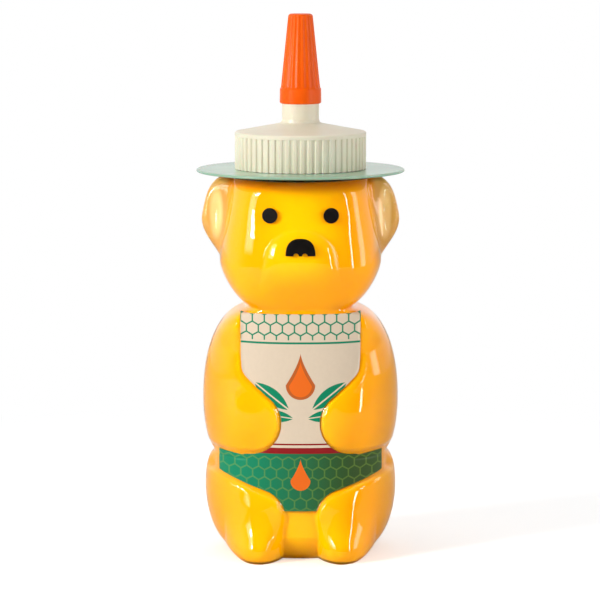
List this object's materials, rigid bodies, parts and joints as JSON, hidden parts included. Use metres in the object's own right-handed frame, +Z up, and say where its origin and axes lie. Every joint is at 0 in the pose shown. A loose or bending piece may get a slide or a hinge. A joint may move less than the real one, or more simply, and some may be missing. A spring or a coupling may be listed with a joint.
{
  "type": "honey bear bottle",
  "caption": "Clear bear-shaped squeeze bottle full of honey, with a wrap-free front label, a hat brim under a ribbed screw cap, a spout and a pull-off tip cap.",
  "frame": {"origin": "on the resting face's level, on the neck's axis, which is also the middle of the hat brim", "axes": "+Z up along the neck's axis; the bear faces -Y; its left paw, on the viewer's right, is towards +X"},
  "size_m": [0.0632, 0.0632, 0.1639],
  "materials": {
    "clear_plastic": "clear, glossy",
    "honey": "glossy",
    "label": "satin",
    "black_print": "glossy",
    "green_plastic": "translucent, glossy",
    "foam": "matte",
    "cream_plastic": "satin",
    "orange_plastic": "glossy"
  },
  "bodies": {
    "bottle_body": {"bottle": "clear_plastic", "honey": "honey", "front_label": "label", "left_eye": "black_print", "right_eye": "black_print", "nose": "black_print"},
    "brim_body": {"brim": "green_plastic"},
    "liner_body": {"cap_liner": "foam"},
    "cap_body": {"screw_cap": "cream_plastic"},
    "tip_cap_body": {"tip_cap": "orange_plastic"}
  },
  "joints": [
    {"name": "brim_spin", "type": "hinge", "parent": "bottle_body", "child": "brim_body", "pos_m": [0, 0, 0.1163], "axis": [0, 0, 1], "continuous": true},
    {"name": "cap_lift", "type": "slide", "parent": "bottle_body", "child": "liner_body", "axis": [0, 0, 1], "range_m": [0, 0.0127]},
    {"name": "cap_turn", "type": "hinge", "parent": "liner_body", "child": "cap_body", "pos_m": [0, 0, 0.1172], "axis": [0, 0, 1], "range_deg": [0, 1085]},
    {"name": "tip_pull", "type": "slide", "parent": "cap_body", "child": "tip_cap_body", "axis": [0, 0, 1], "range_m": [0, 0.03]}
  ],
  "couplings": [
    {"joint": "cap_turn", "follows": "cap_lift", "rad_per_m": 1484.2}
  ]
}
